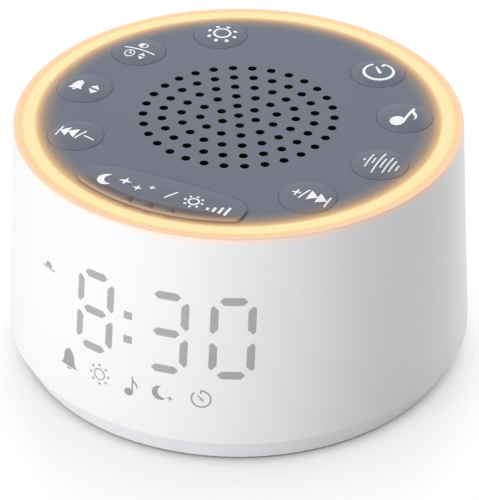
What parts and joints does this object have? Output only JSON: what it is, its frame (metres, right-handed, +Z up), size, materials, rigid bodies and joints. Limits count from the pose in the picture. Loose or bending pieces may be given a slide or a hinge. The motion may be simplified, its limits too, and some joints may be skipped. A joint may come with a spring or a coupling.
{
  "type": "bedside white noise sound machine",
  "caption": "Round tapered bedside sound machine with a clock in its front, a lit ring round a speaker grille, domed keys and a wide snooze bar.",
  "frame": {"origin": "middle of the footprint, on the surface that the four feet stand on", "axes": "+Z up through the top panel; the clock display faces -Y; the power inlet faces +Y"},
  "size_m": [0.11, 0.11, 0.0604],
  "materials": {
    "white_shell": "moulded, fine satin texture",
    "light_ring": "translucent diffuser, lit warm from below",
    "panel_grey": "fine spark-eroded matt texture",
    "key_grey": "fine matt texture, as the panel",
    "cloth_black": "close-woven acoustic cloth",
    "rubber_dark": "matt moulded rubber",
    "steel": "plated, lightly brushed",
    "ferrite": "sintered, matt",
    "copper": "enamelled copper winding",
    "cone_paper": "pressed paper pulp, matt",
    "board_green": "solder mask, semi-gloss",
    "black_plastic": "moulded, satin",
    "white_plastic": "moulded, satin",
    "ribbon_white": "flexible flat cable"
  },
  "bodies": {
    "root": {"housing_shell": "white_shell", "base_cover": "white_shell", "light_ring": "light_ring", "top_panel": "panel_grey", "snooze_switch": "black_plastic", "grille_cloth": "cloth_black", "key_board": "board_green", "ring_lamps": "white_plastic", "speaker_basket": "steel", "speaker_magnet": "ferrite", "speaker_surround": "rubber_dark", "speaker_screws": "steel", "board_screws": "steel", "base_screws": "steel", "display_board": "board_green", "display_reflector": "black_plastic", "display_ribbon": "ribbon_white", "key_ribbon": "ribbon_white", "speaker_leads": "black_plastic", "coin_cell": "steel", "cell_contact_negative": "steel", "cell_contact_positive": "steel", "main_board": "board_green", "sound_chip": "black_plastic", "usb_c_port": "steel", "usb_c_tongue": "black_plastic", "foot_front_left": "rubber_dark", "foot_front_right": "rubber_dark", "foot_rear_left": "rubber_dark", "foot_rear_right": "rubber_dark", "next_switch": "black_plastic", "melody_switch": "black_plastic", "music_switch": "black_plastic", "timer_switch": "black_plastic", "previous_switch": "black_plastic", "alarm_switch": "black_plastic", "dimmer_switch": "black_plastic", "light_switch": "black_plastic"},
    "next_key": {"next_key": "key_grey", "next_plunger": "white_plastic"},
    "melody_key": {"melody_key": "key_grey", "melody_plunger": "white_plastic"},
    "music_key": {"music_key": "key_grey", "music_plunger": "white_plastic"},
    "timer_key": {"timer_key": "key_grey", "timer_plunger": "white_plastic"},
    "previous_key": {"previous_key": "key_grey", "previous_plunger": "white_plastic"},
    "alarm_key": {"alarm_key": "key_grey", "alarm_plunger": "white_plastic"},
    "dimmer_key": {"dimmer_key": "key_grey", "dimmer_plunger": "white_plastic"},
    "light_key": {"light_key": "key_grey", "light_plunger": "white_plastic"},
    "snooze_bar": {"snooze_bar": "key_grey", "snooze_plunger": "white_plastic"},
    "battery_door": {"battery_door": "white_shell"},
    "speaker_cone": {"speaker_cone": "cone_paper", "voice_coil": "copper", "dust_cap": "cone_paper"}
  },
  "joints": [
    {"name": "next_press", "type": "slide", "parent": "root", "child": "next_key", "axis": [0, 0, -1], "range_m": [0, 0.0005], "stiffness_N_per_m": 2000},
    {"name": "melody_press", "type": "slide", "parent": "root", "child": "melody_key", "axis": [0, 0, -1], "range_m": [0, 0.0005], "stiffness_N_per_m": 2000},
    {"name": "music_press", "type": "slide", "parent": "root", "child": "music_key", "axis": [0, 0, -1], "range_m": [0, 0.0005], "stiffness_N_per_m": 2000},
    {"name": "timer_press", "type": "slide", "parent": "root", "child": "timer_key", "axis": [0, 0, -1], "range_m": [0, 0.0005], "stiffness_N_per_m": 2000},
    {"name": "previous_press", "type": "slide", "parent": "root", "child": "previous_key", "axis": [0, 0, -1], "range_m": [0, 0.0005], "stiffness_N_per_m": 2000},
    {"name": "alarm_press", "type": "slide", "parent": "root", "child": "alarm_key", "axis": [0, 0, -1], "range_m": [0, 0.0005], "stiffness_N_per_m": 2000},
    {"name": "dimmer_press", "type": "slide", "parent": "root", "child": "dimmer_key", "axis": [0, 0, -1], "range_m": [0, 0.0005], "stiffness_N_per_m": 2000},
    {"name": "light_press", "type": "slide", "parent": "root", "child": "light_key", "axis": [0, 0, -1], "range_m": [0, 0.0005], "stiffness_N_per_m": 2000},
    {"name": "snooze_press", "type": "slide", "parent": "root", "child": "snooze_bar", "axis": [0, 0, -1], "range_m": [0, 0.0005], "stiffness_N_per_m": 2000},
    {"name": "battery_door_turn", "type": "hinge", "parent": "root", "child": "battery_door", "pos_m": [0, -0.012, 0.0006], "axis": [0, 0, 1], "range_deg": [0, 60]},
    {"name": "speaker_cone_travel", "type": "slide", "parent": "root", "child": "speaker_cone", "axis": [0, 0, 1], "range_m": [-0.0008, 0.0008], "stiffness_N_per_m": 1500, "deforming": ["speaker_surround"]}
  ]
}
